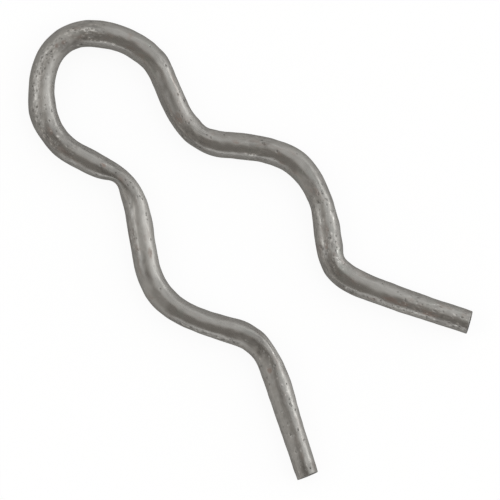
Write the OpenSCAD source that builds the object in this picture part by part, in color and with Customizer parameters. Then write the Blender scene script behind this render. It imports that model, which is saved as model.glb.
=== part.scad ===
// Spring clip bent from one length of round steel wire.
// A pull eye at one end runs into two waved legs. Each leg dips in at a waist, bows out in a belly
// that holds a grooved shaft, dips in again at a neck and ends in a flared, tapered tip.
// Lengths are in millimetres and angles in degrees. Bend radii run to the middle of the wire.
// The clip lies flat on its underside: +X runs from the eye to the tips, +Z points up.
// The origin is on the axis of the shaft between the two bellies, on the underside.

/* [Wire] */
// Diameter of the wire
wire_d = 3.2; // [2.6:0.1:3.8]
// Diameter of the wire at its two cut ends
tip_d = 2.8; // [2.2:0.1:3.2]
// Angle of both cut ends from square, parallel to each other in the straight wire
cut_skew = 4; // [0:0.5:12]

/* [Eye] */
// Radius of the crown, the tight bend at the back of the eye
crown_r = 5.6; // [4.6:0.1:7]
// Angle of the crown, half of it on each leg
crown_angle = 72; // [64:0.5:80]
// Angle by which the crown leans away from square to the clip's axis
crown_lean = 8.5; // [0:0.5:12]
// Radius of the flanks, the wide bends at the sides of the eye
flank_r = 12.2; // [10.5:0.1:14]
// Radius of the shoulders, the bends that close the eye towards the waist
shoulder_r = 7.9; // [6.8:0.1:9]

/* [Leg bends] */
// Radius of the waist of each leg
waist_r = 7.7; // [6.4:0.1:9]
// Radius of the belly of each leg
belly_r = 9.3; // [8:0.1:10.6]
// Radius of the neck of each leg
neck_r = 6.3; // [5.4:0.1:7.4]

/* [Upper leg] */
// Angle of the upper flank
upper_flank = 29; // [24:0.5:34]
// Angle of the upper shoulder
upper_shoulder = 38; // [34:0.5:42]
// Straight from the upper shoulder to the waist
upper_to_waist = 4.3; // [3:0.1:5.6]
// Angle of the upper waist
upper_waist = 61; // [57:0.5:65]
// Straight from the upper waist to the belly
upper_to_belly = 4.1; // [2.8:0.1:5.4]
// Angle of the upper belly
upper_belly = 75; // [70:0.5:80]
// Straight from the upper belly to the neck
upper_to_neck = 4.4; // [3:0.1:5.8]
// Angle of the upper neck
upper_neck = 62; // [56:0.5:68]
// Length of the upper tip, from the neck to the cut end
upper_tip = 14.4; // [10:0.1:18]

/* [Lower leg] */
// Angle of the lower flank
lower_flank = 25; // [20:0.5:30]
// Angle of the lower shoulder
lower_shoulder = 53.5; // [49.5:0.5:57.5]
// Straight from the lower shoulder to the waist
lower_to_waist = 5; // [3.6:0.1:6.4]
// Angle of the lower waist
lower_waist = 50; // [46:0.5:54]
// Straight from the lower waist to the belly
lower_to_belly = 6; // [4.6:0.1:7.4]
// Angle of the lower belly
lower_belly = 61; // [56:0.5:66]
// Straight from the lower belly to the neck
lower_to_neck = 6; // [4.6:0.1:7.4]
// Angle of the lower neck
lower_neck = 53; // [47:0.5:59]
// Length of the lower tip, from the neck to the cut end
lower_tip = 14.6; // [10:0.1:18]

/* [Forming marks] */
// Diameter of the forming pin that the waists and necks were bent round
pin_d = 6.6; // [5:0.1:7]
// Depth to which the pin bit into the inside of the upper waist
upper_waist_bite = 0.15; // [0.1:0.05:0.6]
// Angle along the upper waist at which the pin bit deepest
upper_waist_bite_at = 33; // [20:1:45]
// Depth to which the pin bit into the inside of the lower waist
lower_waist_bite = 0.9; // [0.1:0.05:1.2]
// Angle along the lower waist at which the pin bit deepest
lower_waist_bite_at = 11; // [6:1:40]
// Depth to which the pin bit into the inside of the upper neck
upper_neck_bite = 0.2; // [0.1:0.05:0.6]
// Angle along the upper neck at which the pin bit deepest
upper_neck_bite_at = 23; // [16:1:45]

/* [Hidden] */
$fn = 48;
steel_grey = [0.5, 0.49, 0.47];
wire_r = wire_d / 2;

// Every second step of a leg is a hair thinner than the wire and runs a little way into both of
// its neighbours, so that all steps fuse into one solid.
hair = 0.01;
lap = 0.1;
slim_d = wire_d - 2 * hair;

// A step of a leg's route is [length, radius, angle]. A straight has radius 0.
// A bend's angle is positive to the left. A leg starts at the middle of the crown, heading +Y.
upper_steps = [
    [0, crown_r, -crown_angle / 2],
    [0, flank_r, -upper_flank],
    [0, shoulder_r, -upper_shoulder],
    [upper_to_waist, 0, 0],
    [0, waist_r, upper_waist],
    [upper_to_belly, 0, 0],
    [0, belly_r, -upper_belly],
    [upper_to_neck, 0, 0],
    [0, neck_r, upper_neck]
];

// The lower leg is described as its own mirror image, so that it also starts out heading +Y.
lower_steps = [
    [0, crown_r, -crown_angle / 2],
    [0, flank_r, -lower_flank],
    [0, shoulder_r, -lower_shoulder],
    [lower_to_waist, 0, 0],
    [0, waist_r, lower_waist],
    [lower_to_belly, 0, 0],
    [0, belly_r, -lower_belly],
    [lower_to_neck, 0, 0],
    [0, neck_r, lower_neck]
];

// Places of the waist, belly and neck in a leg's list of steps
WAIST = 4;
BELLY = 6;
NECK = 8;

// Centre of a bend that starts at a pose [x, y, heading]
function bend_centre(pose, step) =
    let (side = sign(step[2]))
    [pose[0] - side * step[1] * sin(pose[2]), pose[1] + side * step[1] * cos(pose[2])];

// Pose at the end of a step
function pose_after(pose, step) =
    step[1] == 0
        ? [pose[0] + step[0] * cos(pose[2]), pose[1] + step[0] * sin(pose[2]), pose[2]]
        : let (centre = bend_centre(pose, step))
          let (side = sign(step[2]))
          let (heading = pose[2] + step[2])
          [centre[0] + side * step[1] * sin(heading), centre[1] - side * step[1] * cos(heading), heading];

// Poses at the start of every step, and at the end of the last
function leg_poses(steps, pose = [0, 0, 90], i = 0) =
    i == len(steps)
        ? [pose]
        : concat([pose], leg_poses(steps, pose_after(pose, steps[i]), i + 1));

upper_poses = leg_poses(upper_steps);
lower_poses = leg_poses(lower_steps);

// The shaft's axis lies midway between the centres of the two bellies.
upper_belly_centre = bend_centre(upper_poses[BELLY], upper_steps[BELLY]);
lower_belly_centre = bend_centre(lower_poses[BELLY], lower_steps[BELLY]);
shaft_x = (upper_belly_centre[0] + lower_belly_centre[0]) / 2;
shaft_y = (upper_belly_centre[1] - lower_belly_centre[1]) / 2;

// Moves its children from the origin, heading +X, to a pose
module at_pose(pose) {
    translate([pose[0], pose[1], 0])
        rotate([0, 0, pose[2]])
            children();
}

// Wire bent to the left, starting at the origin and heading +X, run on by a length at both ends
module left_bend(radius, angle, d, run_on) {
    extra = run_on / radius * 180 / PI;
    translate([0, radius, 0])
        rotate([0, 0, -90 - extra])
            rotate_extrude(angle = angle + 2 * extra)
                translate([radius, 0])
                    circle(d = d);
}

// One step of the route, starting at the origin and heading +X, run on by a length at both ends
module wire_step(step, d, run_on) {
    if (step[1] == 0) {
        translate([-run_on, 0, 0])
            rotate([0, 90, 0])
                cylinder(h = step[0] + 2 * run_on, d = d);
    } else if (step[2] > 0) {
        left_bend(step[1], step[2], d, run_on);
    } else {
        mirror([0, 1, 0])
            left_bend(step[1], -step[2], d, run_on);
    }
}

// Tapered tip along +X from inside the neck, with its end cut off at an angle
module tip(length, skew) {
    spare = wire_d;
    taper = (slim_d - tip_d) / length;
    difference() {
        translate([-lap, 0, 0])
            rotate([0, 90, 0])
                cylinder(h = lap + length + spare, d1 = slim_d + taper * lap, d2 = tip_d - taper * spare);
        translate([length, 0, 0])
            rotate([0, 0, skew])
                translate([0, -wire_d, -wire_d])
                    cube([2 * spare, 2 * wire_d, 2 * wire_d]);
    }
}

// Forming pin standing in the inside of a left bend, sunk into the wire to a depth
module forming_pin(pose, step, bite, bite_at) {
    at_pose(pose)
        translate([0, step[1], 0])
            rotate([0, 0, bite_at - 90])
                translate([step[1] - wire_r + bite - pin_d / 2, 0, -wire_d])
                    cylinder(h = 2 * wire_d, d = pin_d);
}

// The crown, with its middle at the origin
module crown() {
    translate([crown_r, 0, 0])
        rotate([0, 0, 180 - crown_angle / 2])
            rotate_extrude(angle = crown_angle)
                translate([crown_r, 0])
                    circle(d = wire_d);
}

// One leg from the end of the crown to its cut end
module leg(steps, poses, tip_length, skew) {
    for (i = [1 : len(steps) - 1]) {
        slim = i % 2 == 1;
        at_pose(poses[i])
            wire_step(steps[i], slim ? slim_d : wire_d, slim ? lap : 0);
    }
    at_pose(poses[len(steps)])
        tip(tip_length, skew);
}

module upper_leg() {
    difference() {
        leg(upper_steps, upper_poses, upper_tip, cut_skew);
        forming_pin(upper_poses[WAIST], upper_steps[WAIST], upper_waist_bite, upper_waist_bite_at);
        forming_pin(upper_poses[NECK], upper_steps[NECK], upper_neck_bite, upper_neck_bite_at);
    }
}

module lower_leg() {
    mirror([0, 1, 0])
        difference() {
            leg(lower_steps, lower_poses, lower_tip, -cut_skew);
            forming_pin(lower_poses[WAIST], lower_steps[WAIST], lower_waist_bite, lower_waist_bite_at);
        }
}

module spring_clip() {
    color(steel_grey)
        translate([0, 0, wire_r])
            rotate([0, 0, -crown_lean])
                translate([-shaft_x, -shaft_y, 0]) {
                    crown();
                    upper_leg();
                    lower_leg();
                }
}

spring_clip();
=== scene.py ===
"""Looks of a spring clip that is bent from one length of drawn steel wire.

Sizes are in millimetres and angles in degrees, in the part's own frame: +X runs from the pull eye to the
tips, +Y to the upper leg, +Z up. Meshes are made in metres. A distance along the wire is measured from the
middle of the crown, positive on the upper leg and negative on the lower. An angle round the wire is
measured from the clip's outside towards its top.
"""

import logging
import math
from collections.abc import Mapping, Sequence
from dataclasses import dataclass, field
from enum import Enum
from typing import Any, ClassVar

import bpy
import numpy as np
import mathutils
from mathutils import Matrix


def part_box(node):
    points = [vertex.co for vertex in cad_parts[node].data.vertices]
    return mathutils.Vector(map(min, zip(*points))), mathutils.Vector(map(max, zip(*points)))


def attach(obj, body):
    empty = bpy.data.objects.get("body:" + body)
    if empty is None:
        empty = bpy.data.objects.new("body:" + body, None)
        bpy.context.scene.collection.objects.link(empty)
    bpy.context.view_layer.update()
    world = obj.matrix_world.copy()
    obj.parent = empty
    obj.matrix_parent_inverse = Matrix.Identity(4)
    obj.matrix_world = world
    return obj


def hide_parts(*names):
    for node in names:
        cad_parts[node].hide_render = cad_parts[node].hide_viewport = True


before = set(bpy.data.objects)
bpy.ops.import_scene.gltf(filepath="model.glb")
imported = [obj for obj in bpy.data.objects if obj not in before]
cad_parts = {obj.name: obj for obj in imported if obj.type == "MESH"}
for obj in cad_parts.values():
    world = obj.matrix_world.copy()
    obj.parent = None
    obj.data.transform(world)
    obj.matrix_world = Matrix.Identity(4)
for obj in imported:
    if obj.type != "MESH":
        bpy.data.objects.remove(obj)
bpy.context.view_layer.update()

LOG = logging.getLogger("spring_clip")
MM = 0.001
CLIP_NODE = "spring_clip"
CLIP_BODY = "root"

# Length of a pit in its widths, and half length and half width of a chip
PIT_STRETCH = 1.3
CHIP_SIZE = (0.32, 0.18)

# Colours of bared steel, also painted on as highlights and sheen, and of scaled steel, also painted on as
# shade at the edges of the wire's sides
BARE_STEEL_AND_SHEEN = (0.45, 0.436, 0.41)
MILL_SCALE_AND_SHADE = (0.06, 0.056, 0.052)

Array = np.ndarray
Colour = tuple[float, float, float]
Vector = tuple[float, float, float]
Span = tuple[float, float]


class Leg(Enum):
    """The two legs, each with the sign of its distances along the wire."""

    UPPER = 1
    LOWER = -1


class Face(Enum):
    """Sides of the wire in the plane of the clip, each with its sign across the wire."""

    OUTER = 1
    INNER = -1


class Bend(Enum):
    """Bends of a leg, in order from the middle of the crown."""

    CROWN = "crown"
    FLANK = "flank"
    SHOULDER = "shoulder"
    WAIST = "waist"
    BELLY = "belly"
    NECK = "neck"


class Layer(Enum):
    """Values that the mesh carries over its surface, for the finish to read."""

    STRAIGHT = "straight"
    PIT = "pit"
    STAIN = "stain"
    # The next four layers mix real wear with painted highlights and painted shade
    RUB = "rub"
    DULL = "dull"
    GRIME = "grime"
    WORN = "worn"
    CALM = "calm"
    CUT = "cut"


class Draw(Enum):
    """Streams of random numbers, each with its step from the clip's seed."""

    SCATTER = 0
    LOWER_CUT = 1
    UPPER_CUT = 2
    PITS = 3
    CHIPS = 4


def smooth_step(value: Array) -> Array:
    """Eases a value from 0 to 1 with no corner at either end."""
    t = np.clip(value, 0.0, 1.0)
    return t * t * (3.0 - 2.0 * t)


def bell(value: Array) -> Array:
    """A round hump that is 1 at 0 and fades out at -1 and 1."""
    return 0.5 + 0.5 * np.cos(np.pi * np.clip(value, -1.0, 1.0))


# Route of the wire


@dataclass(frozen=True)
class Pose:
    """A place on a leg's route, with the direction of travel in radians. Its values may be arrays."""

    x: Any
    y: Any
    heading: Any


@dataclass(frozen=True)
class Step:
    """One step of a leg's route. A straight has no radius, and a bend's angle is positive to the left."""

    length: float
    radius: float = 0.0
    angle: float = 0.0
    bend: Bend | None = None

    @classmethod
    def turn(cls, bend: Bend, radius: float, angle: float) -> "Step":
        """Makes a bend, positive to the left, with its length along the middle of the wire."""
        return cls(radius * math.radians(abs(angle)), radius, angle, bend)

    def centre(self, pose: Pose) -> tuple[float, float]:
        """Finds the x and y of the centre of a bend that starts at a pose."""
        reach = math.copysign(self.radius, self.angle)
        return pose.x - reach * math.sin(pose.heading), pose.y + reach * math.cos(pose.heading)

    def walk(self, pose: Pose, run: Any) -> Pose:
        """Goes some way along the step.

        Args:
            pose: Where the step starts.
            run: Distance along the middle of the wire, one or many.

        Returns:
            The pose after that distance.
        """
        if not self.radius:
            x = pose.x + run * math.cos(pose.heading)
            y = pose.y + run * math.sin(pose.heading)
            return Pose(x, y, pose.heading + 0.0 * run)
        reach = math.copysign(self.radius, self.angle)
        centre_x, centre_y = self.centre(pose)
        heading = pose.heading + run / reach
        return Pose(centre_x + reach * np.sin(heading), centre_y - reach * np.cos(heading), heading)


@dataclass(frozen=True)
class LegShape:
    """Angles of one leg's bends and lengths of the straights between them."""

    flank: float
    shoulder: float
    to_waist: float
    waist: float
    to_belly: float
    belly: float
    to_neck: float
    neck: float
    tip: float


@dataclass(frozen=True)
class Route:
    """Middle line of the wire, as a chain of bends and straights on each side of the crown."""

    crown_angle: float = 72.0
    lean: float = 8.5
    crown_r: float = 5.6
    flank_r: float = 12.2
    shoulder_r: float = 7.9
    waist_r: float = 7.7
    belly_r: float = 9.3
    neck_r: float = 6.3
    upper: LegShape = LegShape(29.0, 38.0, 4.3, 61.0, 4.1, 75.0, 4.4, 62.0, 14.4)
    lower: LegShape = LegShape(25.0, 53.5, 5.0, 50.0, 6.0, 61.0, 6.0, 53.0, 14.6)

    def shape(self, leg: Leg) -> LegShape:
        """The bends of one leg."""
        return self.upper if leg is Leg.UPPER else self.lower

    def steps(self, leg: Leg) -> list[Step]:
        """Lists the steps of a leg. The lower leg is described as its own mirror image.

        Args:
            leg: Which leg.

        Returns:
            The steps from the middle of the crown to the cut end.
        """
        shape = self.shape(leg)
        return [
            Step.turn(Bend.CROWN, self.crown_r, -self.crown_angle / 2.0),
            Step.turn(Bend.FLANK, self.flank_r, -shape.flank),
            Step.turn(Bend.SHOULDER, self.shoulder_r, -shape.shoulder),
            Step(shape.to_waist),
            Step.turn(Bend.WAIST, self.waist_r, shape.waist),
            Step(shape.to_belly),
            Step.turn(Bend.BELLY, self.belly_r, -shape.belly),
            Step(shape.to_neck),
            Step.turn(Bend.NECK, self.neck_r, shape.neck),
            Step(shape.tip),
        ]

    def length(self, leg: Leg) -> float:
        """Length of a leg from the middle of the crown to its cut end."""
        return sum(step.length for step in self.steps(leg))

    def start_of(self, leg: Leg, bend: Bend) -> tuple[Step, Pose]:
        """Finds where a bend starts, in the leg's own frame.

        Args:
            leg: Which leg.
            bend: Which bend.

        Returns:
            The bend's step and its first pose.
        """
        pose = Pose(0.0, 0.0, math.pi / 2.0)
        for step in self.steps(leg):
            if step.bend is bend:
                return step, pose
            pose = step.walk(pose, step.length)
        raise ValueError(f"the {leg.name.lower()} leg has no {bend.value}")

    def seat(self) -> Array:
        """Finds the shaft's axis, midway between the centres of the two bellies.

        Returns:
            Its x and y before the clip is turned square.
        """
        starts = [self.start_of(leg, Bend.BELLY) for leg in Leg]
        upper, lower = (step.centre(pose) for step, pose in starts)
        return np.array([upper[0] + lower[0], upper[1] - lower[1]]) / 2.0

    def squared(self, points: Array) -> Array:
        """Moves points to the shaft's axis and turns them square to the clip.

        Args:
            points: Places as rows of x and y, with the crown's middle at the origin.

        Returns:
            The same places in the part's frame.
        """
        turn = math.radians(-self.lean)
        matrix = np.array([[math.cos(turn), -math.sin(turn)], [math.sin(turn), math.cos(turn)]])
        return (points - self.seat()) @ matrix.T

    def follow(self, leg: Leg, distance: Array) -> Pose:
        """Walks a leg in its own frame.

        Args:
            leg: Which leg.
            distance: Distances from the middle of the crown.

        Returns:
            The poses at those distances.
        """
        x, y, heading = (np.zeros_like(distance) for _ in range(3))
        pose = Pose(0.0, 0.0, math.pi / 2.0)
        start = 0.0
        for step in self.steps(leg):
            here = distance >= start
            there = step.walk(pose, distance[here] - start)
            x[here], y[here], heading[here] = there.x, there.y, there.heading
            pose = step.walk(pose, step.length)
            start += step.length
        return Pose(x, y, heading)

    def place(self, along: Array) -> tuple[Array, Array, Array]:
        """Finds the wire's middle line in the part's frame.

        Args:
            along: Distances along the wire.

        Returns:
            Points, directions of travel and directions to the clip's outside, as rows of x and y.
        """
        points = np.zeros((len(along), 2))
        heading = np.zeros(len(along))
        for leg in Leg:
            here = along * leg.value >= 0.0
            pose = self.follow(leg, np.abs(along[here]))
            points[here] = np.column_stack([pose.x, pose.y * leg.value])
            heading[here] = pose.heading if leg is Leg.UPPER else math.pi - pose.heading
        heading -= math.radians(self.lean)
        travel = np.column_stack([np.cos(heading), np.sin(heading)])
        outward = np.column_stack([-travel[:, 1], travel[:, 0]])
        return self.squared(points), travel, outward


# Marks that drawing, bending and wear left on the wire, and patches of painted highlight and painted shade


@dataclass(frozen=True)
class Mark:
    """A stretch where forming left one side of the wire proud, or low where its height is negative."""

    HUG: ClassVar[float] = 1.6

    leg: Leg
    face: Face
    at: float
    reach: float
    height: float

    def height_at(self, along: Array) -> Array:
        """How far the side stands out at distances along the wire."""
        return bell((along - self.at * self.leg.value) / self.reach) * self.height

    def share_at(self, around: Array) -> Array:
        """Share of the height at angles round the wire: the mark keeps to its own side."""
        return np.maximum(0.0, self.face.value * np.cos(around)) ** self.HUG


@dataclass(frozen=True)
class Nip(Mark):
    """A place where the wire was pinched against a tool, sharp in its middle and long in its run."""

    FALL: ClassVar[float] = -1.5

    def height_at(self, along: Array) -> Array:
        """How far the side stands out at distances along the wire."""
        away = (along - self.at * self.leg.value) / self.reach
        return self.height * (1.0 + away**2) ** self.FALL

    def share_at(self, around: Array) -> Array:
        """Share of the height at angles round the wire: the whole side gives way."""
        return np.maximum(0.0, self.face.value * np.cos(around))


@dataclass(frozen=True)
class Lean(Mark):
    """A stretch where the tools pushed the crest of the wire over to one side."""

    def share_at(self, around: Array) -> Array:
        """Share of the height at angles round the wire: the sides stay where they are."""
        return np.sin(around) ** 2


def forming_marks() -> list[Mark]:
    """Lists the marks that forming left on the sides of the wire, by distance along it, reach and height.

    Returns:
        The marks from the crown to each tip, and the pinched waist of the lower leg.
    """
    places = {
        (Mark, Leg.UPPER, Face.OUTER): (
            (5.0, 5.0, 0.1), (13.0, 1.3, 0.1), (16.0, 2.5, -0.1), (24.0, 2.0, -0.2), (29.0, 3.5, 0.15),
            (36.5, 3.0, 0.15), (41.5, 3.0, -0.2), (46.0, 2.5, 0.2), (48.2, 1.7, 0.2), (50.6, 1.5, -0.15),
            (54.0, 2.5, 0.15), (61.0, 3.2, -0.06), (70.0, 6.0, 0.14),
        ),
        (Mark, Leg.UPPER, Face.INNER): (
            (4.5, 5.0, 0.12), (10.5, 2.6, 0.12), (20.8, 2.8, -0.12), (26.3, 2.4, 0.08),
            (33.5, 2.5, 0.08), (43.8, 3.0, -0.12), (51.2, 2.8, 0.15), (57.5, 2.0, 0.07),
            (61.0, 4.5, 0.1), (65.0, 3.0, 0.06),
        ),
        (Mark, Leg.LOWER, Face.OUTER): (
            (5.0, 3.0, 0.09), (9.6, 3.6, 0.18), (38.2, 2.8, 0.12), (42.7, 2.6, -0.1),
        ),
        (Nip, Leg.LOWER, Face.OUTER): ((22.8, 2.3, -1.05),),
        (Mark, Leg.LOWER, Face.INNER): (
            (10.0, 4.0, 0.14), (16.4, 2.2, -0.08), (29.4, 2.4, 0.1), (45.2, 2.6, -0.12),
            (49.4, 2.2, 0.14), (54.0, 2.6, -0.22), (59.0, 3.8, 0.16),
        ),
        (Lean, Leg.UPPER, Face.OUTER): ((17.5, 5.0, 0.15),),
        (Lean, Leg.UPPER, Face.INNER): ((39.5, 4.0, 0.22), (60.0, 6.0, 0.12)),
        (Lean, Leg.LOWER, Face.INNER): (
            (8.8, 3.5, 0.18), (25.0, 4.0, 0.35), (32.0, 5.0, 0.18), (54.0, 7.0, 0.28), (64.5, 8.0, 0.22),
        ),
        (Lean, Leg.LOWER, Face.OUTER): ((45.4, 4.0, 0.15),),
    }
    return [kind(leg, face, *row) for (kind, leg, face), rows in places.items() for row in rows]


@dataclass(frozen=True)
class Blemish:
    """A spot on the skin of the wire, with its half length along the wire and half width round it."""

    leg: Leg
    at: float
    round: float
    length: float
    width: float
    strength: float = 1.0


def pit(leg: Leg, at: float, turn: float, size: float) -> Blemish:
    """Makes a pit of a half width, a little longer than it is wide."""
    return Blemish(leg, at, turn, size * PIT_STRETCH, size)


def large_pits() -> list[Blemish]:
    """Lists the larger pits, by distance along the wire, angle round it and half width.

    Returns:
        The pits of both legs.
    """
    places = {
        Leg.UPPER: (
            (1.2, 62, 0.12), (2.0, 73, 0.14), (2.8, 62, 0.13), (3.4, 79, 0.12), (3.8, 108, 0.2),
            (3.9, 71, 0.14), (11.2, 55, 0.12), (14.0, 54, 0.14), (17.5, 42, 0.15), (17.8, 63, 0.13),
            (18.8, 40, 0.15), (21.8, 80, 0.12), (25.3, 75, 0.12), (32.0, 63, 0.17), (33.9, 83, 0.15),
            (41.5, 88, 0.18), (41.6, 72, 0.15), (42.5, 104, 0.2), (47.2, 81, 0.2), (50.7, 106, 0.14),
            (62.1, 49, 0.12), (64.7, 91, 0.12), (68.2, 75, 0.18),
        ),
        Leg.LOWER: (
            (1.2, 70, 0.13), (1.9, 88, 0.15), (2.2, 95, 0.12), (2.5, 80, 0.13), (2.9, 87, 0.12),
            (3.0, 64, 0.14), (3.4, 101, 0.12), (3.8, 76, 0.2), (4.2, 92, 0.12), (4.6, 83, 0.13),
            (5.0, 74, 0.14), (5.3, 64, 0.1), (5.8, 85, 0.12), (6.4, 78, 0.12), (7.0, 70, 0.12),
            (7.9, 82, 0.12), (11.0, 105, 0.14), (12.7, 62, 0.18), (13.6, 79, 0.16), (14.3, 61, 0.17),
            (20.2, 41, 0.15), (28.0, 132, 0.14), (31.3, 131, 0.14), (37.9, 104, 0.14), (42.6, 25, 0.15),
            (45.4, 41, 0.14), (48.0, 32, 0.2), (48.8, 30, 0.16), (55.2, 35, 0.15), (60.3, 117, 0.12),
            (60.9, 113, 0.18), (61.8, 133, 0.12), (64.3, 108, 0.18), (65.8, 125, 0.15), (69.4, 91, 0.18),
            (69.5, 113, 0.14),
        ),
    }
    return [pit(leg, *row) for leg, rows in places.items() for row in rows]


def chips() -> list[Blemish]:
    """Lists the small bright chips, by distance along the wire and angle round it.

    Returns:
        The chips of both legs.
    """
    places = {
        Leg.UPPER: (
            (0.9, 70), (1.2, 84), (1.6, 66), (2.3, 80), (3.3, 92), (3.9, 118), (4.3, 79), (4.5, 121),
            (5.2, 122), (6.0, 124), (7.0, 126),
        ),
        Leg.LOWER: (
            (1.2, 74), (1.7, 96), (2.2, 70), (2.7, 90), (3.2, 68), (3.3, 82), (3.8, 88), (4.3, 72),
            (4.8, 92), (5.2, 76), (9.2, 52), (10.4, 50), (13.2, 72), (14.0, 70), (44.5, 36), (46.5, 38),
            (47.4, 36), (49.5, 34),
        ),
    }
    return [Blemish(leg, *row, *CHIP_SIZE) for leg, rows in places.items() for row in rows]


def placed_wear() -> dict[Layer, list[Blemish]]:
    """Lists the wear, by distance along the wire, angle round it, half length, half width and strength.

    Returns:
        Stains, flecked rubs, places that are duller, darker or evenly bared, and stretches of even skin.
        The rubs and the duller and bared places are partly painted highlights, the darker places partly
        painted shade.
    """
    # The rubbed, paler and bared places are partly painted highlights, the darker places partly painted
    # shade
    places = {
        (Layer.STAIN, Leg.UPPER): (
            (0.1, 99, 0.35, 0.3), (20.5, 103, 0.9, 0.4), (28.6, 73, 0.6, 0.25), (46.2, 88, 0.9, 0.25),
            (47.9, 102, 0.7, 0.3), (59.6, 104, 2.2, 0.45), (63.7, 111, 2.2, 0.4),
        ),
        (Layer.STAIN, Leg.LOWER): (
            (0.9, 90, 0.35, 0.3), (12.2, 87, 0.7, 0.4), (20.3, 109, 0.5, 0.25), (33.0, 113, 0.9, 0.4),
            (56.0, 68, 0.6, 0.35),
        ),
        (Layer.RUB, Leg.UPPER): (
            (3.1, 76, 1.5, 0.3), (30.7, 122, 1.2, 0.2), (44.8, 113, 0.7, 0.13), (47.5, 114, 0.7, 0.13),
            (50.4, 68, 0.7, 0.3),
        ),
        (Layer.RUB, Leg.LOWER): (
            (2.6, 68, 3.2, 0.5, 0.4), (5.5, 74, 2.0, 0.28), (6.9, 60, 1.2, 0.16), (8.1, 60, 1.0, 0.2),
            (13.5, 101, 0.35, 0.2), (20.7, 57, 0.9, 0.3, 0.3), (57.1, 123, 0.5, 0.3, 0.3),
            (59.3, 127, 0.9, 0.35, 0.4), (60.8, 130, 0.5, 0.3, 0.4), (62.4, 121, 0.8, 0.25, 0.3),
            (64.2, 112, 0.9, 0.25, 0.3),
        ),
        (Layer.DULL, Leg.UPPER): (
            (18.8, 84, 4.2, 1.0, 0.5), (39.4, 118, 2.2, 0.9, 0.6), (45.0, 97, 5.0, 1.3, 0.7),
            (62.5, 80, 8.0, 2.6, 0.25),
        ),
        (Layer.DULL, Leg.LOWER): (
            (4.2, 85, 8.0, 2.6), (29.5, 128, 8.0, 2.2, 1.25), (38.0, 72, 2.6, 1.3, 0.6),
            (51.2, 62, 2.0, 0.8, 0.5), (58.0, 62, 5.0, 1.1, 0.6), (62.5, 128, 9.0, 2.0, 0.6),
            (65.0, 56, 5.0, 0.7, 0.6),
        ),
        (Layer.GRIME, Leg.UPPER): (
            (1.6, 140, 1.4, 0.8, 0.8), (13.4, 37, 1.4, 0.7, 0.8), (18.0, 117, 3.4, 0.9, 0.6),
            (23.1, 146, 1.6, 0.7, 0.7), (31.5, 71, 1.4, 0.7, 0.6), (39.4, 55, 2.4, 1.0, 0.4),
            (41.5, 39, 1.6, 0.8, 0.9), (46.0, 60, 6.0, 0.7, 0.6), (53.5, 147, 1.4, 0.6, 0.7),
            (66.0, 119, 1.2, 0.6, 0.6), (68.4, 117, 2.0, 0.8, 0.5),
        ),
        (Layer.GRIME, Leg.LOWER): (
            (0.3, 118, 1.2, 0.8, 0.7), (2.6, 40, 3.5, 1.0, 0.5), (5.5, 44, 1.2, 0.6, 0.6),
            (8.9, 46, 3.0, 1.3, 0.6), (11.1, 149, 1.4, 0.6, 0.6), (12.4, 118, 3.6, 1.5, 0.5),
            (13.3, 122, 1.2, 0.8, 0.6), (13.6, 33, 1.6, 0.8, 0.9), (21.8, 40, 1.4, 0.7, 0.7),
            (23.0, 92, 4.0, 1.1, 0.8), (26.8, 118, 1.8, 0.6, 0.4), (33.3, 75, 1.0, 0.5, 0.6),
            (42.8, 37, 1.8, 0.7, 0.7), (51.4, 90, 1.8, 1.0, 0.7), (56.5, 138, 1.2, 0.7, 0.6),
            (58.5, 106, 5.5, 0.9, 0.6), (68.5, 76, 1.4, 0.8, 0.6), (69.6, 127, 1.0, 0.8, 0.8),
        ),
        (Layer.WORN, Leg.UPPER): (
            (14.5, 87, 1.6, 0.8, 0.4), (17.1, 30, 1.6, 0.7, 0.5), (21.7, 56, 1.4, 0.7, 0.4),
            (46.9, 116, 1.4, 0.7, 0.5), (54.2, 31, 1.6, 0.7, 0.4), (60.2, 146, 1.6, 0.7, 0.6),
        ),
        (Layer.WORN, Leg.LOWER): (
            (2.5, 132, 1.6, 0.8, 0.5), (8.2, 86, 1.8, 0.9, 0.5), (11.3, 91, 1.4, 0.7, 0.4),
            (25.2, 62, 1.2, 0.7, 0.4), (27.0, 143, 3.6, 0.8), (27.4, 77, 1.4, 0.14, 1.5),
            (28.7, 147, 1.4, 0.5, 0.4), (29.6, 70, 1.5, 0.14, 1.5), (30.4, 118, 3.0, 0.6, 0.8),
            (31.8, 65, 1.4, 0.14, 1.3), (32.0, 142, 4.5, 0.7, 0.7), (33.3, 122, 1.6, 0.7, 0.5),
            (54.2, 143, 2.4, 0.7), (59.4, 144, 3.4, 0.6, 0.7),
        ),
        (Layer.CALM, Leg.UPPER): (
            (9.2, 95, 4.8, 3.4), (16.0, 112, 4.0, 2.0), (27.5, 95, 3.2, 2.6), (36.0, 100, 4.2, 3.2),
            (56.0, 78, 4.8, 2.6),
        ),
        (Layer.CALM, Leg.LOWER): (
            (18.2, 90, 2.0, 2.2), (40.0, 112, 13.0, 2.8),
        ),
    }
    made: dict[Layer, list[Blemish]] = {}
    for (layer, leg), rows in places.items():
        made.setdefault(layer, []).extend(Blemish(leg, *row) for row in rows)
    return made


@dataclass(frozen=True)
class Speckle:
    """A stretch of the skin that is strewn with small spots about one angle round the wire."""

    GROW: ClassVar[Span] = (0.7, 1.3)

    leg: Leg
    start: float
    end: float
    round: float
    spread: float
    count: int

    def spots(self, draw: np.random.Generator, size: Span, strength: float) -> list[Blemish]:
        """Strews spots over the stretch.

        Args:
            draw: Source of random numbers.
            size: Usual half length and half width of a spot.
            strength: Strength of the spots.

        Returns:
            The spots.
        """
        at = draw.uniform(self.start, self.end, self.count)
        turn = draw.normal(self.round, self.spread, self.count)
        grow = draw.uniform(*self.GROW, self.count)
        places = zip(at, turn, grow)
        return [Blemish(self.leg, a, t, size[0] * g, size[1] * g, strength) for a, t, g in places]


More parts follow.
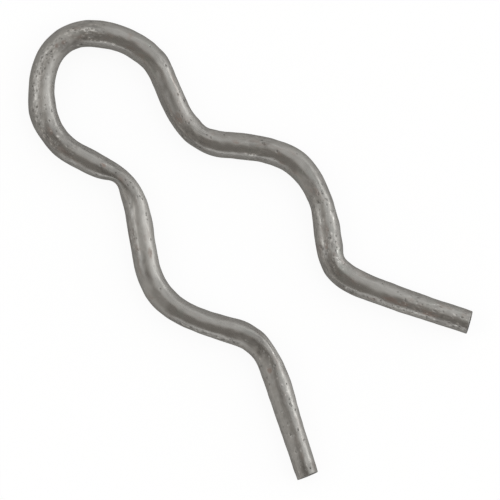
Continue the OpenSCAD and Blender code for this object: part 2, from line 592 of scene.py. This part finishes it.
def speckles() -> list[Speckle]:
    """Lists the stretches that are strewn with small pits and bright chips.

    Returns:
        The stretches of both legs.
    """
    places = {
        Leg.UPPER: (
            (0.0, 5.0, 95, 30, 12), (41.0, 50.0, 95, 30, 24), (53.0, 69.0, 138, 7, 26),
            (60.0, 69.0, 85, 15, 8),
        ),
        Leg.LOWER: (
            (0.0, 6.0, 80, 20, 12), (6.0, 14.0, 55, 12, 14), (19.5, 28.0, 95, 35, 4),
            (29.0, 31.0, 45, 15, 5), (41.0, 50.0, 38, 6, 20), (60.0, 69.0, 75, 20, 5),
        ),
    }
    return [Speckle(leg, *row) for leg, rows in places.items() for row in rows]


@dataclass(frozen=True)
class Waviness:
    """Uneven skin of drawn and bent wire, as a sum of random waves along and round it."""

    seed: int = 7
    count: int = 160
    height: float = 0.01
    shortest: float = 1.2
    longest: float = 9.0
    most_round: int = 8

    def at(self, along: Array, around: Array) -> Array:
        """Works out the height of the skin.

        Args:
            along: Distances along the wire.
            around: Angles round the wire, in radians.

        Returns:
            Heights, with a row for each distance and a column for each angle.
        """
        draw = np.random.default_rng(self.seed)
        total = np.zeros((len(along), len(around)))
        for _ in range(self.count):
            wave = self.shortest * (self.longest / self.shortest) ** draw.random()
            order = draw.integers(0, self.most_round + 1)
            lean, phase = draw.choice([-1.0, 1.0]), draw.uniform(0.0, 2.0 * math.pi)
            turn = 2.0 * math.pi / wave * along[:, None] + lean * order * around[None, :] + phase
            total += math.sqrt(wave / self.longest) * np.cos(turn)
        return total * self.height / total.std()


# Shader maths


class Link:
    """An output socket that takes part in Python expressions. Each operator adds a Math node."""

    def __init__(self, net: "NodeNet", socket: bpy.types.NodeSocket) -> None:
        """Wraps a socket of a node tree."""
        self.net = net
        self.socket = socket

    def math(self, operation: str, *operands: "Operand") -> "Link":
        """Adds a Math node, with values or links in the order of its sockets."""
        return self.net.add("ShaderNodeMath", {"operation": operation}, dict(enumerate(operands)))

    def __add__(self, other: "Operand") -> "Link":
        """Adds a value."""
        return self.math("ADD", self, other)

    __radd__ = __add__

    def __sub__(self, other: "Operand") -> "Link":
        """Takes a value away."""
        return self.math("SUBTRACT", self, other)

    def __rsub__(self, other: "Operand") -> "Link":
        """Is taken away from a value."""
        return self.math("SUBTRACT", other, self)

    def __mul__(self, other: "Operand") -> "Link":
        """Multiplies by a value."""
        return self.math("MULTIPLY", self, other)

    __rmul__ = __mul__

    def __abs__(self) -> "Link":
        """Drops the sign."""
        return self.math("ABSOLUTE", self)

    def at_least(self, other: "Operand") -> "Link":
        """The greater of this and another value."""
        return self.math("MAXIMUM", self, other)

    def ease(self, low: float, high: float) -> "Link":
        """Eases from 0 at a low value to 1 at a high one."""
        inputs = {"Value": self, "From Min": low, "From Max": high}
        return self.net.add("ShaderNodeMapRange", {"interpolation_type": "SMOOTHSTEP"}, inputs)

    def scaled(self, factors: Vector) -> "Link":
        """A vector with each part multiplied by its own factor."""
        return self.net.add("ShaderNodeVectorMath", {"operation": "MULTIPLY"}, {0: self, 1: factors})

    def dot(self, direction: Vector) -> "Link":
        """The dot product of a vector with a direction."""
        settings = {"operation": "DOT_PRODUCT"}
        return self.net.add("ShaderNodeVectorMath", settings, {0: self, 1: direction}, "Value")

    def between(self, first: "Operand", second: "Operand") -> "Link":
        """Mixes two colours, the first where this value is 0 and the second where it is 1."""
        inputs = {"Factor": self, "A": first, "B": second}
        return self.net.add("ShaderNodeMix", {"data_type": "RGBA"}, inputs, "Result")


Operand = Link | float | Colour


class NodeNet:
    """A node tree that is written as expressions."""

    def __init__(self, tree: bpy.types.NodeTree) -> None:
        """Empties a tree and takes it over."""
        tree.nodes.clear()
        self.tree = tree

    def add(
        self,
        kind: str,
        settings: Mapping[str, Any] | None = None,
        inputs: Mapping[str | int, Operand] | None = None,
        output: str | int = 0,
    ) -> Link:
        """Adds a node.

        Args:
            kind: Blender's name for the type of node.
            settings: Properties, which are set before the sockets.
            inputs: Values or links by socket name or number.
            output: The output that is wanted, by name or number.

        Returns:
            That output, or the node's first where it has none to give.
        """
        node = self.tree.nodes.new(kind)
        for name, value in (settings or {}).items():
            setattr(node, name, value)
        for name, value in (inputs or {}).items():
            socket = self.pick(node.inputs, name)
            if isinstance(value, Link):
                self.tree.links.new(value.socket, socket)
            elif isinstance(value, tuple) and len(socket.default_value) == 4:
                socket.default_value = (*value, 1.0)
            else:
                socket.default_value = value
        if not node.outputs:
            return Link(self, node.inputs[0])
        return Link(self, self.pick(node.outputs, output))

    @staticmethod
    def pick(sockets: Any, name: str | int) -> bpy.types.NodeSocket:
        """Finds a socket by its number, or by its name among those in use."""
        named = (socket for socket in sockets if socket.name == name and socket.enabled)
        return sockets[name] if isinstance(name, int) else next(named)

    def attribute(self, layer: Layer, output: str = "Fac") -> Link:
        """Reads a value that the mesh carries, with Fac for a number and Vector for a vector."""
        return self.add("ShaderNodeAttribute", {"attribute_name": layer.value}, None, output)

    def cells(self, place: Link) -> Link:
        """Distance to the nearest of scattered points, one to a unit cell."""
        return self.add("ShaderNodeTexVoronoi", {"feature": "F1"}, {"Vector": place, "Scale": 1.0})


@dataclass(frozen=True)
class Texture:
    """A noise over the straight wire, with its waves to a millimetre and its share in the skin's tone."""

    scale: Vector
    detail: float
    roughness: float = 0.55
    tone: float = 0.0

    def over(self, place: Link) -> Link:
        """Adds the noise to a node tree.

        Args:
            place: Places on the straight wire.

        Returns:
            The noise, about 0.5 on average.
        """
        inputs = {"Vector": place.scaled(self.scale), "Scale": 1.0}
        inputs |= {"Detail": self.detail, "Roughness": self.roughness}
        return place.net.add("ShaderNodeTexNoise", {"noise_dimensions": "3D"}, inputs)


# Finishes


@dataclass(frozen=True)
class Tint:
    """How one kind of place looks: its colour, how strongly that shows, and the roughness that it adds."""

    colour: Colour
    share: float
    rough: float = 0.0


@dataclass(frozen=True)
class DrawnSteel:
    """Dull drawn steel wire with draw lines, mill scale in pits, warm stains and rubbed high spots. Its
    paler, bared and rubbed places are partly painted highlights, its darker places partly painted shade,
    its sides carry a painted sheen, and the edges of its sides and its cut faces are painted darker as
    shade.
    """

    light: Colour = (0.312, 0.302, 0.282)
    dark: Colour = (0.15, 0.144, 0.135)
    # The cut faces are painted dark: painted shade along the cut edge
    cut_face: Colour = (0.095, 0.092, 0.087)
    edge_tint: Colour = (0.5, 0.49, 0.475)

    cool: Tint = Tint((0.214, 0.222, 0.203), 0.45)
    # Paler, rougher patches: partly real wear, partly painted highlight
    dull: Tint = Tint((0.34, 0.331, 0.311), 0.7, 0.18)
    # Darker patches: partly dirt, partly painted shade
    grime: Tint = Tint((0.12, 0.115, 0.107), 0.5)
    stain: Tint = Tint((0.196, 0.147, 0.125), 0.7, 0.12)
    # Evenly bared bands: partly real wear, partly painted highlight
    worn: Tint = Tint(BARE_STEEL_AND_SHEEN, 0.5)
    # Rubbed spots and chips: partly bare steel, partly painted glints and highlights
    rub: Tint = Tint(BARE_STEEL_AND_SHEEN, 1.0, -0.06)
    # The wire's sides are painted paler, a painted sheen, and made rougher
    flank: Tint = Tint(BARE_STEEL_AND_SHEEN, 0.17, 0.34)
    # The edges of the wire's sides are painted darker: painted shade
    rim: Tint = Tint(MILL_SCALE_AND_SHADE, 0.12)
    scale: Tint = Tint(MILL_SCALE_AND_SHADE, 0.6, 0.2)

    lines: Texture = Texture((7.0, 7.0, 0.5), 3.0, tone=0.25)
    grain: Texture = Texture((2.4, 2.4, 1.3), 4.0, 0.56, 0.45)
    swell: Texture = Texture((1.8, 1.8, 0.8), 2.0)
    fine: Texture = Texture((8.0, 8.0, 5.0), 2.0, tone=0.15)
    patches: Texture = Texture((0.7, 0.7, 0.3), 3.0, tone=0.15)
    rust: Texture = Texture((1.1, 1.1, 0.45), 4.0, 0.62)
    speck_cells: Vector = (1.4, 1.4, 1.0)
    fleck_cells: Vector = (1.7, 1.7, 1.2)

    # Values between which each kind of place fades in
    flank_span: Span = (0.56, 0.88)
    rim_shade_span: Span = (0.8, 1.0)
    cell_edge: Span = (0.1, 0.2)
    speck_span: Span = (0.44, 0.54)
    fleck_span: Span = (0.48, 0.56)
    pit_span: Span = (0.36, 0.56)
    rust_span: Span = (0.54, 0.7)
    stain_span: Span = (0.35, 0.6)
    cool_span: Span = (0.55, 0.7)
    rub_span: Span = (0.42, 0.58)
    tone_span: Span = (0.3, 0.7)
    cut_span: Span = (0.35, 0.65)

    calm_share: float = 0.75
    speck_share: float = 0.8
    fleck_share: float = 0.6
    rust_share: float = 0.5
    roughness: float = 0.27
    swell_rough: float = 0.2
    cut_rough: float = 0.2
    line_height: float = 0.002
    swell_height: float = 0.012
    pit_depth: float = 0.03

    def material(self, wire_r: float) -> bpy.types.Material:
        """Makes the material.

        Args:
            wire_r: Radius of the wire that it dresses.

        Returns:
            The finished material.
        """
        made = bpy.data.materials.new("drawn_steel")
        made.use_nodes = True
        net = NodeNet(made.node_tree)
        straight = net.attribute(Layer.STRAIGHT, "Vector")
        pits, stain, rub, cut = map(net.attribute, (Layer.PIT, Layer.STAIN, Layer.RUB, Layer.CUT))
        lines, grain, swell = (texture.over(straight) for texture in (self.lines, self.grain, self.swell))
        fine, patches, rust = (texture.over(straight) for texture in (self.fine, self.patches, self.rust))
        specks, flecks = (net.cells(straight.scaled(size)) for size in (self.speck_cells, self.fleck_cells))

        side = abs(straight.dot((1.0 / wire_r, 0.0, 0.0)))
        rough = 1.0 - net.attribute(Layer.CALM) * self.calm_share
        speck = (1.0 - specks.ease(*self.cell_edge)) * fine.ease(*self.speck_span) * rough
        fleck = (1.0 - flecks.ease(*self.cell_edge)) * grain.ease(*self.fleck_span) * rough
        scale = (pits * fine.ease(*self.pit_span)).at_least(speck * self.speck_share)
        rusty = rust.ease(*self.rust_span) * self.rust_share
        mottle = (grain * 0.5 + fine * 0.5).ease(*self.rub_span)
        places = (
            (patches.ease(*self.cool_span), self.cool),
            # paler, rougher patches, partly painted highlight
            (net.attribute(Layer.DULL), self.dull),
            # darker patches, partly painted shade
            (net.attribute(Layer.GRIME), self.grime),
            (rusty.at_least(stain * grain.ease(*self.stain_span)), self.stain),
            # evenly bared bands, partly painted highlight
            (net.attribute(Layer.WORN), self.worn),
            # rubbed spots and flecks, partly painted glints
            ((rub * mottle).at_least(fleck * self.fleck_share), self.rub),
            # painted sheen on the wire's sides, with more roughness
            (side.ease(*self.flank_span), self.flank),
            # painted shade at the edges of the wire's sides
            (side.ease(*self.rim_shade_span), self.rim),
            (scale, self.scale),
        )

        tone = grain * self.grain.tone + lines * self.lines.tone + patches * self.patches.tone
        tone = (tone + fine * self.fine.tone).ease(*self.tone_span)
        skin = ((tone - 0.5) * rough + 0.5).between(self.dark, self.light)
        roughness = self.roughness + (swell - 0.5) * self.swell_rough + cut * self.cut_rough
        for amount, tint in places:
            skin = (amount * tint.share).between(skin, tint.colour)
            roughness = roughness + amount * tint.rough
        skin = cut.between(skin, fine.ease(*self.cut_span).between(self.cut_face, self.dark))
        height = lines * self.line_height + swell * rough * self.swell_height - scale * self.pit_depth
        relief = {"Strength": 1.0, "Distance": MM, "Height": height}
        inputs = {
            "Base Color": skin,
            "Metallic": 1.0,
            "Roughness": roughness,
            "Specular Tint": self.edge_tint,
            "Normal": net.add("ShaderNodeBump", None, relief, "Normal"),
        }
        metal = net.add("ShaderNodeBsdfPrincipled", None, inputs)
        net.add("ShaderNodeOutputMaterial", None, {"Surface": metal})
        return made


@dataclass(frozen=True)
class PaleFloor:
    """White paper floor that keeps a faint shadow."""

    paper: Colour = (0.94, 0.94, 0.94)
    shadow_share: float = 0.09

    def material(self) -> bpy.types.Material:
        """Makes the material.

        Returns:
            The finished material.
        """
        made = bpy.data.materials.new("pale_paper")
        made.use_nodes = True
        net = NodeNet(made.node_tree)
        outputs = ("Is Camera Ray", "Is Glossy Ray", "Is Transmission Ray")
        camera, glossy, through = (net.add("ShaderNodeLightPath", None, None, output) for output in outputs)
        seen = camera.at_least(glossy).at_least(through)
        paper = net.add("ShaderNodeBsdfDiffuse", None, {"Color": self.paper})
        bright = net.add("ShaderNodeEmission", None, {"Color": (1.0, 1.0, 1.0), "Strength": 1.0})
        shown = net.add("ShaderNodeMixShader", None, {0: self.shadow_share, 1: bright, 2: paper})
        floor = net.add("ShaderNodeMixShader", None, {0: seen, 1: paper, 2: shown})
        net.add("ShaderNodeOutputMaterial", None, {"Surface": floor})
        return made


# The clip


@dataclass
class SpringClip:
    """The clip as one swept mesh with its bends, dents, uneven skin and cut ends."""

    wire_d: float
    tip_d: float = 2.8
    cut_skew: float = 4.0
    cut_lean: float = 7.0
    cut_run: float = 2.0
    cut_grain: float = 0.012
    edge_round: float = 0.06
    edge_rings: tuple[float, ...] = (0.35, 1.0, 2.5)
    edge_run: float = 0.3
    sharp_angle: float = 50.0
    rings: int = 1080
    sides: int = 88
    cap_rings: int = 7
    scattered_pits: int = 90
    scattered_size: Span = (0.07, 0.13)
    tip_clear: float = 1.0
    speck_size: Span = (0.15, 0.12)
    fleck_size: Span = (0.25, 0.12)
    strewn_strength: float = 0.8
    spot_fill: float = 1.6
    seed: int = 11
    route: Route = field(default_factory=Route)
    waviness: Waviness = field(default_factory=Waviness)
    marks: list[Mark] = field(default_factory=forming_marks)
    finish: DrawnSteel = field(default_factory=DrawnSteel)

    @property
    def wire_r(self) -> float:
        """Radius of the wire."""
        return self.wire_d / 2.0

    def distances(self) -> Array:
        """Spaces the rings, closer at the cut edges.

        Returns:
            Their distances along the wire, from the lower cut end to the upper.
        """
        low, high = -self.route.length(Leg.LOWER), self.route.length(Leg.UPPER)
        inset = self.edge_round * np.array(self.edge_rings)
        even = np.linspace(low + self.edge_run, high - self.edge_run, self.rings)
        return np.concatenate([[low], low + inset, even, high - inset[::-1], [high]])

    def radius_at(self, along: Array) -> Array:
        """Radius of the wire, which tapers along both tips and is rounded at the cut edges.

        Args:
            along: Distances along the wire.

        Returns:
            The radius at each distance.
        """
        radius = np.full(len(along), self.wire_r)
        for leg in Leg:
            left = self.route.length(leg) - along * leg.value
            share = np.clip(1.0 - left / self.route.shape(leg).tip, 0.0, 1.0)
            radius -= share * (self.wire_d - self.tip_d) / 2.0
            near = np.clip(1.0 - left / self.edge_round, 0.0, 1.0)
            radius -= self.edge_round * (1.0 - np.sqrt(1.0 - near * near))
        return radius

    def scattered(self) -> list[Blemish]:
        """Scatters small pits over the whole skin.

        Returns:
            The pits.
        """
        draw = np.random.default_rng(self.seed + Draw.SCATTER.value)
        made: list[Blemish] = []
        for _ in range(self.scattered_pits):
            leg = Leg.UPPER if draw.random() < 0.5 else Leg.LOWER
            at = draw.uniform(0.0, self.route.length(leg) - self.tip_clear)
            size = draw.uniform(*self.scattered_size)
            made.append(pit(leg, at, draw.uniform(0.0, 360.0), size))
        return made

    def strewn(self, stream: Draw, size: Span) -> list[Blemish]:
        """Strews spots over the speckled stretches, of about one half length and half width."""
        draw = np.random.default_rng(self.seed + stream.value)
        return [spot for stretch in speckles() for spot in stretch.spots(draw, size, self.strewn_strength)]

    def blemishes(self) -> dict[Layer, list[Blemish]]:
        """Lists the blemishes of the skin.

        Returns:
            The blemishes of each kind.
        """
        made = placed_wear()
        made[Layer.PIT] = [*large_pits(), *self.scattered(), *self.strewn(Draw.PITS, self.speck_size)]
        made[Layer.RUB] += [*chips(), *self.strewn(Draw.CHIPS, self.fleck_size)]
        return made

    def mask(self, blemishes: list[Blemish], along: Array, around: Array) -> Array:
        """Works out how far each place of the skin lies inside a blemish.

        Args:
            blemishes: The blemishes.
            along: Distances along the wire.
            around: Angles round the wire, in radians.

        Returns:
            Values from 0 to a blemish's strength, with a row for each distance and a column for each angle.
        """
        mask = np.zeros((len(along), len(around)))
        for spot in blemishes:
            off = (along - spot.at * spot.leg.value) / spot.length
            rows = np.abs(off) < 1.0
            turn = np.angle(np.exp(1j * (around - math.radians(spot.round)))) * self.wire_r / spot.width
            inside = 1.0 - off[rows, None] ** 2 - turn[None, :] ** 2
            mask[rows] = np.maximum(mask[rows], smooth_step(self.spot_fill * inside) * spot.strength)
        return mask

    def across(self, along: Array, around: Array, radius: Array) -> Array:
        """Works out how far the skin lies towards the clip's outside, with its forming marks.

        Args:
            along: Distances along the wire.
            around: Angles round the wire, in radians.
            radius: Radius of the wire at each distance.

        Returns:
            Offsets, with a row for each distance and a column for each angle.
        """
        offset = radius[:, None] * np.cos(around)[None, :]
        for mark in self.marks:
            sign = mark.face.value
            on_leg = along * mark.leg.value > -mark.reach
            height = np.where(on_leg, mark.height_at(along), 0.0)
            offset += sign * height[:, None] * mark.share_at(around)[None, :]
        return offset

    def cut_shift(self, along: Array, out: Array, up: Array) -> Array:
        """Works out how far the skin runs on along the wire, to meet the skewed cut at each end.

        Args:
            along: Distances along the wire.
            out: Offsets towards the clip's outside.
            up: Offsets upwards.

        Returns:
            Shifts along the wire in the direction of travel.
        """
        skew, lean = math.tan(math.radians(self.cut_skew)), math.tan(math.radians(self.cut_lean))
        shift = np.zeros_like(out)
        for leg in Leg:
            left = self.route.length(leg) - along * leg.value
            share = smooth_step(1.0 - left / self.cut_run)[:, None]
            shift += share * (-out * skew - leg.value * up * lean)
        return shift

    def skin(self) -> tuple[Array, dict[Layer, Array]]:
        """Builds the rings of the wire.

        Returns:
            Places of the skin as rows, columns and three values, and what the finish reads there.
        """
        along = self.distances()
        around = np.linspace(0.0, 2.0 * math.pi, self.sides, endpoint=False)
        radius = self.radius_at(along)
        values = {layer: self.mask(spots, along, around) for layer, spots in self.blemishes().items()}
        relief = self.waviness.at(along, around) - values[Layer.PIT] * self.finish.pit_depth
        out = self.across(along, around, radius) + relief * np.cos(around)
        up = radius[:, None] * np.sin(around)[None, :] + relief * np.sin(around)
        points, travel, outward = self.route.place(along)
        shift = self.cut_shift(along, out, up)
        flat = points[:, None, :] + out[:, :, None] * outward[:, None, :]
        flat = flat + shift[:, :, None] * travel[:, None, :]
        height = np.maximum(up + self.wire_r, 0.0)
        ring = self.wire_r * np.stack([np.cos(around), np.sin(around)], axis=1)
        rings = np.repeat(ring[None], len(along), axis=0)
        runs = np.repeat(along[:, None, None], self.sides, axis=1)
        values[Layer.STRAIGHT] = np.concatenate([rings, runs], axis=2)
        return np.concatenate([flat, height[:, :, None]], axis=2), values

    def cap(self, ring: Array, straight: Array, stream: Draw) -> tuple[Array, Array]:
        """Builds one cut face as rings that close in on its middle, with the ragged grain of a sheared end.

        Args:
            ring: Places of the last ring of the skin.
            straight: Straight-wire places of that ring.
            stream: Stream of the face's grain.

        Returns:
            Places and straight-wire places of the face, the middle last.
        """
        draw = np.random.default_rng(self.seed + stream.value)
        middle, straight_middle = ring.mean(axis=0), straight.mean(axis=0)
        first, second = ring[0] - middle, ring[self.sides // 4] - middle
        facing = np.cross(first, second)
        facing /= np.linalg.norm(facing)
        shares = 1.0 - np.arange(1, self.cap_rings + 1) / (self.cap_rings + 1.0)
        rough = draw.normal(0.0, self.cut_grain, (self.cap_rings, self.sides)) * shares[:, None]
        places = middle + shares[:, None, None] * (ring - middle) + rough[:, :, None] * facing
        flat = straight_middle + shares[:, None, None] * (straight - straight_middle)
        return np.vstack([places.reshape(-1, 3), middle]), np.vstack([flat.reshape(-1, 3), straight_middle])

    def faces(self, rows: int) -> list[tuple[int, ...]]:
        """Lists the faces of the skin and the two caps, whose places follow the skin's.

        Args:
            rows: Number of rings of the skin.

        Returns:
            The corners of each face, turned outwards.
        """
        sides = self.sides
        index = np.arange(rows * sides).reshape(rows, sides)
        ahead = np.roll(index, -1, axis=1)
        quads = np.stack([index[:-1], ahead[:-1], ahead[1:], index[1:]], axis=2).reshape(-1, 4)
        made = [tuple(quad) for quad in quads.tolist()]
        cap_size = self.cap_rings * sides + 1
        for end, rim in enumerate((index[0], index[-1])):
            start = rows * sides + end * cap_size
            loops = np.vstack([rim, start + np.arange(self.cap_rings * sides).reshape(-1, sides)])
            onward = np.roll(loops, -1, axis=1)
            ringed = np.stack([loops[:-1], loops[1:], onward[1:], onward[:-1]], axis=2).reshape(-1, 4)
            centre = np.full(sides, start + cap_size - 1)
            fan = np.stack([loops[-1], centre, onward[-1]], axis=1)
            for corners in [*ringed.tolist(), *fan.tolist()]:
                made.append(tuple(corners if end == 0 else corners[::-1]))
        return made

    def build(self) -> bpy.types.Object:
        """Builds the mesh in metres and gives it the values that the finish reads.

        Returns:
            The clip, in the part's frame.
        """
        placed, values = self.skin()
        straight = values.pop(Layer.STRAIGHT)
        ends = ((0, Draw.LOWER_CUT), (-1, Draw.UPPER_CUT))
        caps = [self.cap(placed[row], straight[row], stream) for row, stream in ends]
        places = np.vstack([placed.reshape(-1, 3), *(cap[0] for cap in caps)])
        flat = np.vstack([straight.reshape(-1, 3), *(cap[1] for cap in caps)])
        on_skin = placed.shape[0] * placed.shape[1]
        on_caps = len(places) - on_skin
        mesh = bpy.data.meshes.new("clip_wire")
        mesh.from_pydata((places * MM).tolist(), [], self.faces(len(placed)))
        mesh.shade_smooth()
        mesh.set_sharp_from_angle(angle=math.radians(self.sharp_angle))
        carried = mesh.attributes.new(Layer.STRAIGHT.value, "FLOAT_VECTOR", "POINT")
        carried.data.foreach_set("vector", flat.astype(np.float32).ravel())
        none = np.zeros(on_caps)
        levels = {layer: np.concatenate([value.ravel(), none]) for layer, value in values.items()}
        levels[Layer.CUT] = np.concatenate([np.zeros(on_skin), np.ones(on_caps)])
        for layer, level in levels.items():
            carried = mesh.attributes.new(layer.value, "FLOAT", "POINT")
            carried.data.foreach_set("value", level.astype(np.float32))
        piece = bpy.data.objects.new("clip_wire", mesh)
        bpy.context.scene.collection.objects.link(piece)
        return piece

    def dress(self, piece: bpy.types.Object) -> None:
        """Gives the clip its finish and its place on the part."""
        piece.data.materials.append(self.finish.material(self.wire_r))
        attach(piece, CLIP_BODY)
        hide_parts(CLIP_NODE)


# The studio


@dataclass(frozen=True)
class Softbox:
    """A soft-edged panel of the light tent. Its bearing is anticlockwise from the right of the picture."""

    bearing: float
    height: float
    core: float
    spread: float
    strength: float


def tent_panels() -> list[Softbox]:
    """Lists the panels of the light tent.

    Returns:
        Panels on the right, above and on the left of the picture, and low strips between them.
    """
    return [
        Softbox(40.0, 45.0, 30.0, 42.0, 0.48),
        Softbox(12.0, 0.0, 22.0, 34.0, 2.1),
        Softbox(5.0, 42.0, 8.0, 40.0, 0.6),
        Softbox(62.0, 6.0, 6.0, 36.0, 0.66),
        Softbox(95.0, 42.0, 8.0, 40.0, 0.48),
        Softbox(167.0, 40.0, 6.0, 29.0, 1.5),
        Softbox(205.0, 10.0, 6.0, 34.0, 0.38),
        Softbox(258.0, 2.0, 18.0, 31.0, 1.15),
        Softbox(331.0, 38.0, 8.0, 22.0, 0.8),
    ]


@dataclass(frozen=True)
class Studio:
    """A pale floor, a soft light tent and a camera that looks straight down."""

    floor_z: float
    turn: float = 45.81
    aim: Vector = (2.68, 0.12, 1.6)
    view_width: float = 62.93
    camera_height: float = 450.0
    clip_near: float = 0.01
    clip_far: float = 20.0
    floor_side: float = 8.0
    tent_level: float = 0.5
    panel_level: float = 1.5
    cloth: Colour = (1.05, 1.0, 0.95)
    panel_white: Colour = (0.99, 1.0, 1.01)
    panels: Sequence[Softbox] = field(default_factory=tent_panels)
    paper: PaleFloor = field(default_factory=PaleFloor)

    def lay_floor(self) -> bpy.types.Object:
        """Lays the floor just under the clip.

        Returns:
            The floor.
        """
        half = self.floor_side / 2.0
        square = ((-half, -half), (half, -half), (half, half), (-half, half))
        corners = [(x, y, self.floor_z) for x, y in square]
        mesh = bpy.data.meshes.new("floor")
        mesh.from_pydata(corners, [], [(0, 1, 2, 3)])
        mesh.materials.append(self.paper.material())
        floor = bpy.data.objects.new("floor", mesh)
        bpy.context.scene.collection.objects.link(floor)
        return floor

    def light(self) -> bpy.types.World:
        """Makes the light tent as the world round the scene.

        Returns:
            The world.
        """
        world = bpy.data.worlds.new("light_tent")
        world.use_nodes = True
        net = NodeNet(world.node_tree)
        towards = net.add("ShaderNodeTexCoord", None, None, "Generated")
        level: Operand = self.tent_level
        for panel in self.panels:
            bearing, height = math.radians(panel.bearing + self.turn), math.radians(panel.height)
            flat = math.cos(height)
            axis = (math.cos(bearing) * flat, math.sin(bearing) * flat, math.sin(height))
            edge, core = math.cos(math.radians(panel.spread)), math.cos(math.radians(panel.core))
            level = level + towards.dot(axis).ease(edge, core) * panel.strength
        colour = level.ease(self.tent_level, self.panel_level).between(self.cloth, self.panel_white)
        glow = net.add("ShaderNodeBackground", None, {"Color": colour, "Strength": level})
        net.add("ShaderNodeOutputWorld", None, {"Surface": glow})
        bpy.context.scene.world = world
        return world

    def watch(self) -> bpy.types.Object:
        """Sets the camera over the clip.

        Returns:
            The camera.
        """
        lens = bpy.data.cameras.new("camera")
        lens.lens = lens.sensor_width * self.camera_height / self.view_width
        lens.clip_start = self.clip_near
        lens.clip_end = self.clip_far
        camera = bpy.data.objects.new("camera", lens)
        camera.location = (self.aim[0] * MM, self.aim[1] * MM, (self.aim[2] + self.camera_height) * MM)
        camera.rotation_euler = (0.0, 0.0, math.radians(self.turn))
        bpy.context.scene.collection.objects.link(camera)
        bpy.context.scene.camera = camera
        return camera


def main() -> None:
    """Builds the studio and the clip, and reports each piece."""
    logging.basicConfig(level=logging.INFO, format="%(name)s: %(message)s")
    bpy.context.scene.view_settings.view_transform = "Standard"
    low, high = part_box(CLIP_NODE)
    studio = Studio(floor_z=low.z)
    for made in (studio.watch(), studio.light(), studio.lay_floor()):
        LOG.info("studio: %s", made.name)
    clip = SpringClip(wire_d=(high.z - low.z) / MM)
    piece = clip.build()
    clip.dress(piece)
    LOG.info("piece: %s, %d faces", piece.name, len(piece.data.polygons))


if __name__ == "__main__":
    main()
